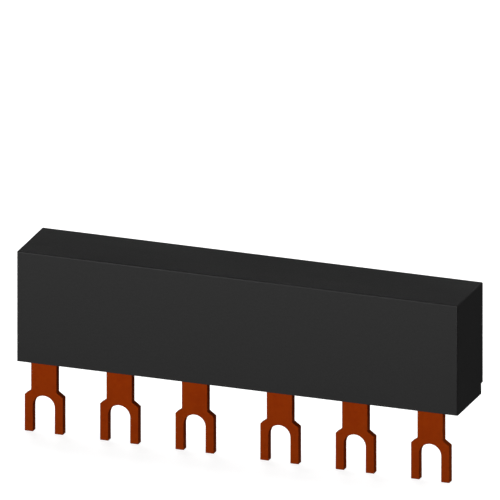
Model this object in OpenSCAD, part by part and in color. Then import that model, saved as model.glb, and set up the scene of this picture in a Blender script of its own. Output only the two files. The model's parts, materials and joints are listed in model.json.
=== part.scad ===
// Three-phase comb busbar with fork tags, for a row of modular motor-protection devices.
//
// X runs along the row of forks, Y to the back, Z up. The origin is the middle of the first fork's
// screw slot, in the middle of the copper's thickness. The forks point down.

/* [Devices] */
// Number of devices that the comb joins
device_count = 2; // [2:1:5]
// Distance between the same terminal of neighbouring devices
device_pitch = 45; // [42:0.5:63]
// Distance between neighbouring terminals of one device
phase_pitch = 14.4; // [12:0.1:17.5]

/* [Forks] */
// Width over both tines
fork_width = 7.35; // [6.4:0.05:9]
// Width of the screw slot
slot_width = 4.15; // [3.4:0.05:5.2]
// Height from the tine tips to the middle of the slot's round end
tine_reach = 4.95; // [3:0.05:8]
// Height of the full-width head above the middle of the slot's round end
head_rise = 2; // [1:0.1:3]
// Height of the slanted shoulder between head and neck
shoulder_height = 0.9; // [0.6:0.05:2]
// Width of the neck
neck_width = 4.9; // [3.8:0.05:6]
// Height of the housing's underside above the middle of the slot's round end
fork_drop = 8.6; // [6:0.1:14]
// Radius of the tine tips' corners
tip_radius = 0.1; // [0.05:0.05:0.5]

/* [Copper bars] */
// Thickness of the copper strip
copper = 1.4; // [1:0.1:2]
// Length of bar past the edge of its outermost tags
bar_end = 0.95; // [0.8:0.05:3]
// Corner radius at the ends of a bar
bar_corner = 0.3; // [0.1:0.05:0.5]
// Fillet where a tag leaves its bar
root_fillet = 0.6; // [0.2:0.05:1]
// Inner radius of the bends in a cranked tag
bend_radius = 1; // [0.6:0.1:1.2]
// Straight length of a tag between its bar and its first bend
tag_drop = 2; // [1.8:0.1:3]

/* [Housing] */
// Depth of the housing, front to back
housing_depth = 13.4; // [11:0.1:20]
// Height of the housing
housing_height = 21.05; // [17:0.05:32]
// Wall thickness of the cover
wall = 1.2; // [1:0.1:1.8]
// Room left inside the cover at its right end
right_room = 1.05; // [0:0.05:10]
// Radius of the cover's outer edges
edge_radius = 0.3; // [0.1:0.05:0.8]
// Depth of the rebate along the lower rear edge
rebate_depth = 1; // [0.4:0.1:1]

/* [Base] */
// Thickness of the base's floor, which is also the height of the rebate
floor_thickness = 2; // [1.4:0.1:3]
// Thickness of the barriers between neighbouring tags
barrier_thickness = 0.8; // [0.6:0.1:1.2]
// Height of the collars round the necks, above the floor
collar_height = 1; // [0.4:0.1:2]
// Wall thickness of the collars
collar_wall = 0.8; // [0.6:0.1:1.2]
// How far the snap noses stand out of the barriers
snap_reach = 0.4; // [0.2:0.05:0.5]
// Height of a snap nose
snap_height = 1.2; // [0.8:0.1:2]
// Height of the snap noses above the floor
snap_rise = 3; // [2:0.1:4]

/* [Separators] */
// Thickness of a separator
separator_thickness = 1.1; // [0.8:0.1:1.4]
// How far a separator reaches down into the barriers
separator_grip = 2; // [1:0.1:2.4]
// Width of the spacer ribs on a separator
spacer_width = 1; // [0.6:0.1:2]
// Height of the ribs under the cover's top that hold the bars down
hold_down = 1.1; // [0.6:0.1:2]
// Depth of the ribs on the cover's rear wall, behind the rear bar
rear_rib = 0.9; // [0.4:0.1:2]

/* [Fits] */
// Clearance between pieces that fit together
fit_gap = 0.1; // [0.05:0.05:0.2]

/* [Hidden] */

$fn = 64;
FRONT = 0;
MIDDLE = 1;
REAR = 2;
PHASES = [FRONT, MIDDLE, REAR];
PLASTIC = [0.18, 0.18, 0.18];
COPPER = [0.62, 0.24, 0.08];
INSULATION = [0.75, 0.73, 0.68];

// Overrun that takes a cut clear through a face, and sinks a rib into its wall
over = 0.5;

// Places of the tags along the row, device by device
function tag_x(phase, device) = device * device_pitch + phase * phase_pitch;
tags = [for (device = [0 : device_count - 1], phase = PHASES) tag_x(phase, device)];
last_tag = tags[len(tags) - 1];

// Outer faces of the housing: its ends follow the ends of the front and the rear bar
x_left = -neck_width / 2 - bar_end - fit_gap - wall;
x_right = last_tag + neck_width / 2 + bar_end + fit_gap + right_room + wall;
y_front = -copper / 2 - fit_gap - wall;
y_rear = y_front + housing_depth;
z_bottom = fork_drop;
z_top = z_bottom + housing_height;
housing_length = x_right - x_left;

// Inner faces of the cover
in_left = x_left + wall;
in_right = x_right - wall;
in_front = y_front + wall;
in_rear = y_rear - wall;
in_top = z_top - wall;

// The bars share the depth between the front wall and the ribs on the rear wall
bar_pitch = (in_rear - in_front - copper - rear_rib - 2 * fit_gap) / REAR;
spacer_reach = bar_pitch / 2 - copper / 2 - fit_gap;

// Bends of the cranked tags: the two bends of the middle bar have to fit in one bar pitch
bend_inner = min(bend_radius, (bar_pitch - copper) / 2 - fit_gap);
bend_middle = bend_inner + copper / 2;
bend_outer = bend_inner + copper;

// Levels inside, from the floor up
z_floor = z_bottom + floor_thickness;
z_collar = z_floor + collar_height;
z_run = z_collar + fit_gap + bend_middle;
z_bar = z_run + bend_middle + tag_drop;
z_bar_top = in_top - hold_down - fit_gap;
z_shoulder = head_rise + shoulder_height;

// Radii that the room beside them limits
bar_corner_radius = min(bar_corner, (z_bar_top - z_bar) / 3);
root_radius = min(root_fillet, bar_end - bar_corner_radius);

// Barriers: one fills each end of the base, and one stands midway between neighbouring tags
end_barrier = bar_end - fit_gap;
end_barriers = [in_left + fit_gap + end_barrier / 2, in_right - fit_gap - end_barrier / 2];
mid_barriers = [for (i = [1 : len(tags) - 1]) (tags[i - 1] + tags[i]) / 2];

// Middle plane of a bar, and of the separator behind it
function bar_y(phase) = phase * bar_pitch;
function separator_y(phase) = (phase + 0.5) * bar_pitch;

// A box from its lowest and highest corners
module box(low, high) {
    translate(low) cube(high - low);
}

// Stands a drawing of depth against height across the row, with the given width
module across(width) {
    rotate([90, 0, 90]) linear_extrude(height = width, center = true) children();
}

// Stands a drawing of length against height along the row, with the given thickness
module along(thickness) {
    rotate([90, 0, 0]) linear_extrude(height = thickness, center = true) children();
}

// A rectangle with rounded corners, from its lowest and highest corners
module rounded_rectangle(low, high, radius) {
    size = high - low;
    translate(low + [radius, 0]) square(size - [2 * radius, 0]);
    translate(low + [0, radius]) square(size - [0, 2 * radius]);
    for (x = [low.x + radius, high.x - radius], y = [low.y + radius, high.y - radius])
        translate([x, y]) circle(radius);
}

// The slot that a separator's edge stands in, from one level to another
module separator_slot(phase, z_low, z_high) {
    half = separator_thickness / 2 + fit_gap;
    y = separator_y(phase);
    box([in_left - over, y - half, z_low], [in_right + over, y + half, z_high]);
}

// ---------- Cover ----------

// The outside: rounded upright edges and rounded top edges
module cover_block() {
    z_below = z_bottom - 2 * edge_radius;
    intersection() {
        translate([0, 0, z_bottom]) linear_extrude(height = housing_height)
            rounded_rectangle([x_left, y_front], [x_right, y_rear], edge_radius);
        translate([0, (y_front + y_rear) / 2, 0]) along(housing_depth + 2 * over)
            rounded_rectangle([x_left, z_below], [x_right, z_top], edge_radius);
        translate([(x_left + x_right) / 2, 0, 0]) across(housing_length + 2 * over)
            rounded_rectangle([y_front, z_below], [y_rear, z_top], edge_radius);
    }
}

// The hollow, the mouth that the base closes, and the rebate along the lower rear edge
module cover_hollow() {
    z_below = z_bottom - over;
    y_rebate = y_rear - rebate_depth;
    box([in_left, in_front, z_below], [in_right, in_rear, in_top]);
    box([in_left, in_front, z_below], [in_right, y_rebate, z_floor]);
    box([x_left - over, y_rebate, z_below], [x_right + over, y_rear + over, z_floor]);
}

// The pockets in the front and rear walls for the snap noses of the base
module snap_pockets() {
    half = barrier_thickness / 2 + fit_gap;
    z_low = z_floor + snap_rise;
    z_high = z_low + snap_height + fit_gap;
    for (x = mid_barriers)
        box([x - half, in_front - snap_reach, z_low], [x + half, in_rear + snap_reach, z_high]);
}

// A rib over a barrier that holds the bars down from above and forward from behind
module cover_rib(x, thickness) {
    half = thickness / 2;
    y_rib = in_rear - rear_rib;
    box([x - half, in_front - over, in_top - hold_down], [x + half, in_rear + over, in_top + over]);
    box([x - half, y_rib, z_bar + fit_gap], [x + half, in_rear + over, in_top + over]);
}

module cover() {
    color(PLASTIC) {
        difference() {
            cover_block();
            cover_hollow();
            snap_pockets();
        }
        difference() {
            union() {
                for (x = end_barriers) cover_rib(x, end_barrier);
                for (x = mid_barriers) cover_rib(x, barrier_thickness);
            }
            for (phase = [FRONT, MIDDLE]) separator_slot(phase, z_bar_top, in_top);
        }
    }
}

// ---------- Base ----------

// The strip that closes the cover's mouth: its rear edge is the bottom of the rebate
module base_floor() {
    y_rebate = y_rear - rebate_depth;
    box([in_left + fit_gap, in_front + fit_gap, z_bottom], [in_right - fit_gap, y_rebate, z_floor]);
}

// A wall between two tags, which carries the bars on its top edge
module barrier(x, thickness) {
    y_low = in_front + fit_gap;
    y_high = in_rear - fit_gap;
    box([x - thickness / 2, y_low, z_floor - over], [x + thickness / 2, y_high, z_bar]);
}

// The two noses of a barrier: flat below, where they catch, and slanted above
module snap_noses(x) {
    y_low = in_front + fit_gap;
    y_high = in_rear - fit_gap;
    z_low = z_floor + snap_rise + fit_gap;
    translate([x, 0, 0]) across(barrier_thickness) polygon([
        [y_low - snap_reach, z_low], [y_high + snap_reach, z_low],
        [y_high, z_low + snap_height - fit_gap], [y_low, z_low + snap_height - fit_gap]
    ]);
}

// The collar that stands round a notch
module neck_collar(x) {
    half = neck_width / 2 + fit_gap + collar_wall;
    low = max(x - half, in_left + fit_gap);
    high = min(x + half, in_right - fit_gap);
    y_back = copper / 2 + fit_gap + collar_wall;
    box([low, in_front + fit_gap, z_floor - over], [high, y_back, z_collar]);
}

// The notch that a neck passes through: the cover's front wall closes it
module neck_notch(x) {
    half = neck_width / 2 + fit_gap;
    box([x - half, in_front - over, z_bottom - over], [x + half, copper / 2 + fit_gap, z_collar + over]);
}

// The room for the fillets where a tag leaves its bar
module root_relief(x, y) {
    half = neck_width / 2 + root_radius + fit_gap;
    deep = copper / 2 + fit_gap;
    box([x - half, y - deep, z_bar - root_radius - fit_gap], [x + half, y + deep, z_bar + over]);
}

module base() {
    color(PLASTIC) difference() {
        union() {
            base_floor();
            for (x = tags) neck_collar(x);
            for (x = end_barriers) barrier(x, end_barrier);
            for (x = mid_barriers) {
                barrier(x, barrier_thickness);
                snap_noses(x);
            }
        }
        for (x = tags) neck_notch(x);
        for (phase = PHASES, device = [0 : device_count - 1]) root_relief(tag_x(phase, device), bar_y(phase));
        for (phase = [FRONT, MIDDLE]) separator_slot(phase, z_bar - separator_grip - fit_gap, z_bar + over);
    }
}

// ---------- Copper bars ----------

// The outline of a fork, from its tine tips to its shoulder
module fork_outline() {
    half = fork_width / 2;
    z_tip = -tine_reach;
    difference() {
        union() {
            rounded_rectangle([-half, z_tip], [half, head_rise - tip_radius], tip_radius);
            translate([-half, z_tip + tip_radius]) square([fork_width, head_rise - z_tip - tip_radius]);
            polygon([
                [-half, head_rise], [half, head_rise],
                [neck_width / 2, z_shoulder], [-neck_width / 2, z_shoulder]
            ]);
        }
        circle(slot_width / 2);
        translate([-slot_width / 2, z_tip - over]) square([slot_width, tine_reach + over]);
    }
}

// A quarter ring about a centre, on the side of it that the signs point to
module bend(centre, y_sign, z_sign) {
    middle = [y_sign, z_sign] * bend_outer / 2;
    translate(centre) intersection() {
        difference() {
            circle(bend_outer);
            circle(bend_inner);
        }
        translate(middle) square(bend_outer, center = true);
    }
}

// The side view of a crank: down from its bar, forward under the bars in front, and down to its fork
module crank_outline(offset) {
    translate([offset - copper / 2, z_run + bend_middle]) square([copper, tag_drop]);
    bend([offset - bend_middle, z_run + bend_middle], 1, -1);
    translate([bend_middle, z_run - copper / 2]) square([offset - 2 * bend_middle, copper]);
    bend([bend_middle, z_run - bend_middle], -1, 1);
}

// The fillets between a bar's lower edge and the two edges of a tag
module tag_root() {
    for (side = [-1, 1])
        translate([side * (neck_width + root_radius) / 2, z_bar - root_radius / 2]) difference() {
            square(root_radius, center = true);
            translate([side, -1] * root_radius / 2) circle(root_radius);
        }
}

// A fork tag of a bar that lies the given distance behind the plane of the forks
module tag(offset) {
    z_neck = offset > 0 ? z_run - bend_middle : z_bar;
    along(copper) {
        fork_outline();
        translate([-neck_width / 2, z_shoulder]) square([neck_width, z_neck - z_shoulder]);
    }
    if (offset > 0) across(neck_width) crank_outline(offset);
    translate([0, offset, 0]) along(copper) tag_root();
}

// One phase: a flat bar and a tag for each device, punched and bent from one strip
module phase_bar(phase) {
    half = neck_width / 2 + bar_end;
    color(COPPER) {
        translate([0, bar_y(phase), 0]) along(copper) rounded_rectangle(
            [tag_x(phase, 0) - half, z_bar],
            [tag_x(phase, device_count - 1) + half, z_bar_top],
            bar_corner_radius
        );
        for (device = [0 : device_count - 1])
            translate([tag_x(phase, device), 0, 0]) tag(bar_y(phase));
    }
}

// ---------- Separators ----------

// An insulating wall behind a bar, with ribs on both sides that keep the bars at their distance
module separator(phase) {
    half = separator_thickness / 2;
    rib = spacer_width / 2;
    color(INSULATION) translate([0, separator_y(phase), 0]) {
        box([in_left + fit_gap, -half, z_bar - separator_grip], [in_right - fit_gap, half, in_top - fit_gap]);
        for (x = mid_barriers)
            box([x - rib, -spacer_reach, z_bar + fit_gap], [x + rib, spacer_reach, z_bar_top]);
    }
}

cover();
base();
phase_bar(FRONT);  // phase_bar_front
phase_bar(MIDDLE);  // phase_bar_middle
phase_bar(REAR);  // phase_bar_rear
separator(FRONT);  // separator_front
separator(MIDDLE);  // separator_rear
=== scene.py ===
"""Looks of the comb busbar: a moulded black housing and copper fork tags in soft studio light."""
import json
import math

import bpy
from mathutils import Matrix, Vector


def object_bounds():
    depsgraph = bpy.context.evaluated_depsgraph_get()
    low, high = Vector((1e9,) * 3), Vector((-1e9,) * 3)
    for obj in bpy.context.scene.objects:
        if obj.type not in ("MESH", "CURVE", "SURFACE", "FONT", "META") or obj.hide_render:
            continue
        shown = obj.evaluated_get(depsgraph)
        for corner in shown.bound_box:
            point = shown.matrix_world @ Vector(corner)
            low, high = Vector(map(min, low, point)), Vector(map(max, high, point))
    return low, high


# Lengths are in metres
MM = 0.001

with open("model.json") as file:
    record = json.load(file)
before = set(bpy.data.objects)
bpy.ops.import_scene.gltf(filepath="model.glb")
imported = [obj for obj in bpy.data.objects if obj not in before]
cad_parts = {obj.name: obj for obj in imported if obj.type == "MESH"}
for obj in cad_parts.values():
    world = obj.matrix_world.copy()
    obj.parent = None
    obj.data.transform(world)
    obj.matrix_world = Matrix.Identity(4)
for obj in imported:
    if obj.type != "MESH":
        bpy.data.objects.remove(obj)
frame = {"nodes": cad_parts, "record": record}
cad_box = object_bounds()
low, high = cad_box
middle = (low + high) / 2
scene = bpy.context.scene

# ---------- Camera ----------

VIEW_AZIMUTH = 20
VIEW_ELEVATION = 20
VIEW_WIDTH = 89.75 * MM
# The view's centre lies this far above the object's middle, which leaves room above the housing
VIEW_RISE = 19.2 * MM
CAMERA_DISTANCE = 0.6
NEAREST_SEEN = 0.01
FARTHEST_SEEN = 10


def direction(azimuth, elevation):
    """The unit vector from the object towards a place. Azimuth 0 is the front, and 90 the right end."""
    turn = math.radians(azimuth)
    rise = math.radians(elevation)
    return Vector((math.sin(turn) * math.cos(rise), -math.cos(turn) * math.cos(rise), math.sin(rise)))


def add_camera():
    """A parallel view from the front right and a little above."""
    towards = direction(VIEW_AZIMUTH, VIEW_ELEVATION)
    lens = bpy.data.cameras.new("camera")
    lens.type = "ORTHO"
    lens.ortho_scale = VIEW_WIDTH
    lens.clip_start = NEAREST_SEEN
    lens.clip_end = FARTHEST_SEEN
    camera = bpy.data.objects.new("camera", lens)
    camera.rotation_mode = "QUATERNION"
    camera.rotation_quaternion = (-towards).to_track_quat("-Z", "Y")
    up = camera.rotation_quaternion @ Vector((0, 1, 0))
    camera.location = middle + up * VIEW_RISE + towards * CAMERA_DISTANCE
    scene.collection.objects.link(camera)
    scene.camera = camera


# ---------- Node helpers ----------

# Sockets that share a name go by number. The Mix node has a pair for each kind of value
MIX_FACTOR = 0
NUMBER_A = 2
NUMBER_B = 3
NUMBER_RESULT = 0
COLOUR_A = 6
COLOUR_B = 7
COLOUR_RESULT = 2


class Shader:
    """Builds one material's node tree with short calls."""

    def __init__(self, name):
        self.material = bpy.data.materials.new(name)
        self.material.use_nodes = True
        self.tree = self.material.node_tree
        self.surface = self.tree.nodes["Principled BSDF"]

    def node(self, kind, inputs=None, **settings):
        """Adds a node, with its settings first and its inputs after them."""
        made = self.tree.nodes.new(kind)
        for key, value in settings.items():
            setattr(made, key, value)
        for key, value in (inputs or {}).items():
            self.set(made, key, value)
        return made

    def set(self, made, key, value):
        """Gives an input its value, which is a number, a colour, or a socket to link from."""
        if isinstance(value, bpy.types.NodeSocket):
            self.tree.links.new(value, made.inputs[key])
        else:
            made.inputs[key].default_value = value

    def place(self, x=1, y=1, z=1):
        """Object coordinates in millimetres. A factor under 1 draws a pattern out along its axis."""
        coordinates = self.node("ShaderNodeTexCoord").outputs["Object"]
        scale = [factor / MM for factor in (x, y, z)]
        return self.node("ShaderNodeMapping", {"Vector": coordinates, "Scale": scale}).outputs["Vector"]

    def noise(self, place, per_mm, detail=3, rough=0.5):
        """Noise from 0 to 1, with this many waves to a millimetre of the place."""
        return self.node("ShaderNodeTexNoise", {
            "Vector": place,
            "Scale": per_mm,
            "Detail": detail,
            "Roughness": rough,
        }).outputs["Fac"]

    def remap(self, value, source, target):
        """Carries one range over to another, and holds what lies past its ends."""
        return self.node("ShaderNodeMapRange", {
            "Value": value,
            "From Min": source[0],
            "From Max": source[1],
            "To Min": target[0],
            "To Max": target[1],
        }).outputs["Result"]

    def math(self, operation, first, second=0.0):
        return self.node("ShaderNodeMath", {0: first, 1: second}, operation=operation).outputs["Value"]

    def mix_numbers(self, factor, first, second):
        inputs = {MIX_FACTOR: factor, NUMBER_A: first, NUMBER_B: second}
        return self.node("ShaderNodeMix", inputs).outputs[NUMBER_RESULT]

    def mix_colours(self, factor, first, second):
        inputs = {MIX_FACTOR: factor, COLOUR_A: first, COLOUR_B: second}
        return self.node("ShaderNodeMix", inputs, data_type="RGBA").outputs[COLOUR_RESULT]

    def bump(self, height, depth, strength, below=None):
        """The normal of a surface with this relief, on top of the normal of the relief below it."""
        inputs = {"Height": height, "Distance": depth, "Strength": strength}
        if below is not None:
            inputs["Normal"] = below
        return self.node("ShaderNodeBump", inputs).outputs["Normal"]

    def finish(self, **inputs):
        """Sets the surface's own sockets, by their names with underscores for spaces."""
        for key, value in inputs.items():
            self.set(self.surface, key.replace("_", " "), value)
        return self.material


# ---------- Materials ----------

def grey(level):
    return (level, level, level, 1)


WHITE = grey(1)
BLACK_DARK = grey(0.0118)
BLACK_PALE = grey(0.015)
INSULATION_DARK = (0.5, 0.48, 0.44, 1)
INSULATION_PALE = (0.56, 0.54, 0.5, 1)
COPPER_WARM = (0.317, 0.0375, 0.0019, 1)
COPPER_BROWN = (0.265, 0.0292, 0.0015, 1)
COPPER_DULL = (0.205, 0.0204, 0.0012, 1)
COPPER_BRIGHT = (0.367, 0.051, 0.0042, 1)
# Lighter copper for the punched edges: partly a burnished shear band, partly painted light that brightens
# the side faces
COPPER_SHEAR_AND_PAINTED_LIGHT = (0.61, 0.094, 0.0095, 1)
COPPER_HIGHLIGHT = (0.75, 0.32, 0.16, 1)
PAPER_DARK = grey(0.35)
PAPER_PALE = grey(0.38)
PIT_DEPTH = 0.03 * MM
GRAIN_DEPTH = 0.014 * MM
ROLLING_DEPTH = 0.006 * MM
# How much of the plastic's tone follows the flow. The rest follows the pits
FLOW_SHARE = 0.65


def moulded_plastic(name, dark, pale, specular):
    """Filled plastic from a spark-eroded mould: fine pits, and faint flow in the tone and the gloss."""
    shader = Shader(name)
    place = shader.place()
    grain = shader.noise(place, per_mm=6.5, detail=2)
    pits = shader.noise(place, per_mm=2.4, rough=0.6)
    flow = shader.noise(shader.place(x=0.3), per_mm=0.14, detail=2)

    flow_tone = shader.math("MULTIPLY", flow, FLOW_SHARE)
    pit_tone = shader.math("MULTIPLY", pits, 1 - FLOW_SHARE)
    tone = shader.math("ADD", flow_tone, pit_tone)
    grain_gloss = shader.remap(grain, (0.3, 0.7), (0.5, 0.6))
    flow_gloss = shader.remap(flow, (0.35, 0.65), (-0.03, 0.03))

    eroded = shader.bump(pits, PIT_DEPTH, strength=0.5)
    return shader.finish(
        Base_Color=shader.mix_colours(shader.remap(tone, (0.35, 0.65), (0, 1)), dark, pale),
        Roughness=shader.math("ADD", grain_gloss, flow_gloss),
        Normal=shader.bump(grain, GRAIN_DEPTH, strength=0.6, below=eroded),
        Specular_IOR_Level=specular,
    )


def rolled_copper(name):
    """Tarnished copper strip: faint rolling lines on its faces, and shear marks on its punched edges,
    whose lighter colour is partly a burnished shear band and partly painted light on the side faces.
    """
    shader = Shader(name)
    place = shader.place()
    film = shader.noise(place, per_mm=0.28, detail=4, rough=0.55)
    patches = shader.noise(place, per_mm=1.1, detail=4, rough=0.62)
    lines = shader.noise(shader.place(x=0.12), per_mm=7, rough=0.6)
    shear = shader.noise(shader.place(y=0.1), per_mm=6, rough=0.6)

    # The strip's faces look to the front and the back, and its punched edges along the row, up or down
    normal = shader.node("ShaderNodeTexCoord").outputs["Normal"]
    facing = shader.node("ShaderNodeSeparateXYZ", {"Vector": normal}).outputs["Y"]
    punched = shader.remap(shader.math("ABSOLUTE", facing), (0.45, 0.65), (1, 0))

    browned = shader.remap(film, (0.38, 0.66), (0, 1))
    dulled = shader.remap(patches, (0.56, 0.76), (0, 0.45))
    brightened = shader.remap(patches, (0.40, 0.24), (0, 0.40))
    # Punched edges turn lighter copper: partly the burnished shear band, partly painted light on the side
    # faces
    shear_and_painted_light = shader.math("MULTIPLY", punched, shader.remap(shear, (0.3, 0.7), (0.45, 0.85)))
    colour = shader.mix_colours(browned, COPPER_WARM, COPPER_BROWN)
    colour = shader.mix_colours(dulled, colour, COPPER_DULL)
    colour = shader.mix_colours(brightened, colour, COPPER_BRIGHT)
    colour = shader.mix_colours(shear_and_painted_light, colour, COPPER_SHEAR_AND_PAINTED_LIGHT)

    line_gloss = shader.remap(lines, (0.3, 0.7), (0.36, 0.44))
    film_gloss = shader.remap(film, (0.35, 0.68), (-0.02, 0.08))
    relief = shader.mix_numbers(punched, lines, shear)
    return shader.finish(
        Base_Color=colour,
        Metallic=0.72,
        Roughness=shader.math("ADD", line_gloss, film_gloss),
        Normal=shader.bump(relief, ROLLING_DEPTH, strength=0.5),
        Specular_IOR_Level=0.3,
        Specular_Tint=COPPER_HIGHLIGHT,
    )


# ---------- Edges ----------

# Points nearer than this become one, and faces that turn less than this become one flat face
WELD_REACH = 0.0005 * MM
FLAT_ANGLE = math.radians(1)
# Corners that turn more than this are softened
SHARP_ANGLE = math.radians(35)
ROUNDING_STEPS = 2


def soften_edges(piece, width):
    """Takes the razor edge off a piece's sharp corners, with a small rounding of this width."""
    weld = piece.modifiers.new("weld", "WELD")
    weld.merge_threshold = WELD_REACH
    flat = piece.modifiers.new("flat", "DECIMATE")
    flat.decimate_type = "DISSOLVE"
    flat.angle_limit = FLAT_ANGLE
    bevel = piece.modifiers.new("edges", "BEVEL")
    bevel.width = width
    bevel.segments = ROUNDING_STEPS
    bevel.limit_method = "ANGLE"
    bevel.angle_limit = SHARP_ANGLE
    smooth = piece.modifiers.new("smooth", "WEIGHTED_NORMAL")
    smooth.keep_sharp = True


# ---------- Lights and floor ----------

LIGHT_DISTANCE = 1.4
LIGHT_SIZE = 0.84
# How far the floor reaches to each side of the object's middle
FLOOR_REACH = 0.3
FLOOR_GLOW = 0.85


def add_softbox(name, azimuth, elevation, watts, gloss=True):
    """A square soft light aimed at the object's middle. One without gloss stays out of reflections."""
    towards = direction(azimuth, elevation)
    light = bpy.data.lights.new(name, "AREA")
    light.size = LIGHT_SIZE
    light.energy = watts
    lamp = bpy.data.objects.new(name, light)
    lamp.location = middle + towards * LIGHT_DISTANCE
    lamp.rotation_mode = "QUATERNION"
    lamp.rotation_quaternion = towards.to_track_quat("Z", "Y")
    lamp.visible_camera = False
    lamp.visible_glossy = gloss
    scene.collection.objects.link(lamp)


def add_world(strength):
    """A white studio. The camera sees it at full brightness, and it lights the object at this strength."""
    world = bpy.data.worlds.new("studio")
    world.use_nodes = True
    tree = world.node_tree
    seen = tree.nodes.new("ShaderNodeLightPath").outputs["Is Camera Ray"]
    level = tree.nodes.new("ShaderNodeMapRange")
    level.inputs["To Min"].default_value = strength
    level.inputs["To Max"].default_value = 1
    tree.links.new(seen, level.inputs["Value"])
    background = tree.nodes["Background"]
    background.inputs["Color"].default_value = WHITE
    tree.links.new(level.outputs["Result"], background.inputs["Strength"])
    scene.world = world


def floor_material():
    """White paper that keeps only a faint shadow. From below it can be seen through."""
    shader = Shader("floor")
    fibres = shader.noise(shader.place(), per_mm=0.15)
    shader.finish(
        Base_Color=shader.mix_colours(fibres, PAPER_DARK, PAPER_PALE),
        Roughness=0.95,
        Specular_IOR_Level=0.0,
        Emission_Color=WHITE,
        Emission_Strength=FLOOR_GLOW,
    )
    below = shader.node("ShaderNodeNewGeometry").outputs["Backfacing"]
    clear = shader.node("ShaderNodeBsdfTransparent").outputs["BSDF"]
    either = shader.node("ShaderNodeMixShader", {0: below, 1: shader.surface.outputs["BSDF"], 2: clear})
    ending = shader.tree.nodes["Material Output"]
    shader.set(ending, "Surface", either.outputs["Shader"])
    return shader.material


def add_floor():
    """A pale floor at the level of the tine tips, which lends no light to the object."""
    sides = [(-1, -1), (1, -1), (1, 1), (-1, 1)]
    corners = [(middle.x + FLOOR_REACH * x, middle.y + FLOOR_REACH * y, low.z) for x, y in sides]
    mesh = bpy.data.meshes.new("floor")
    mesh.from_pydata(corners, [], [(0, 1, 2, 3)])
    mesh.materials.append(floor_material())
    floor = bpy.data.objects.new("floor", mesh)
    floor.visible_diffuse = False
    floor.visible_glossy = False
    scene.collection.objects.link(floor)


# ---------- Scene ----------

add_camera()
add_world(strength=0.06)
add_softbox("key", azimuth=-18, elevation=8, watts=19)
add_softbox("top", azimuth=180, elevation=65, watts=18.4, gloss=False)
add_softbox("fill_right", azimuth=110, elevation=15, watts=11.2, gloss=False)
add_softbox("fill_rear", azimuth=215, elevation=20, watts=14, gloss=False)
add_floor()
scene.view_settings.view_transform = "Standard"

materials = {
    "black_plastic": moulded_plastic("black_plastic", BLACK_DARK, BLACK_PALE, specular=0.25),
    "insulation": moulded_plastic("insulation", INSULATION_DARK, INSULATION_PALE, specular=0.4),
    "copper": rolled_copper("copper"),
}
edge_widths = {
    "black_plastic": 0.045 * MM,
    "insulation": 0.08 * MM,
    "copper": 0.06 * MM,
}
for part in frame["record"]["subparts"]:
    piece = frame["nodes"][part["node"]]
    slot = part["material_slot"]
    piece.data.materials.clear()
    piece.data.materials.append(materials[slot])
    soften_edges(piece, edge_widths[slot])
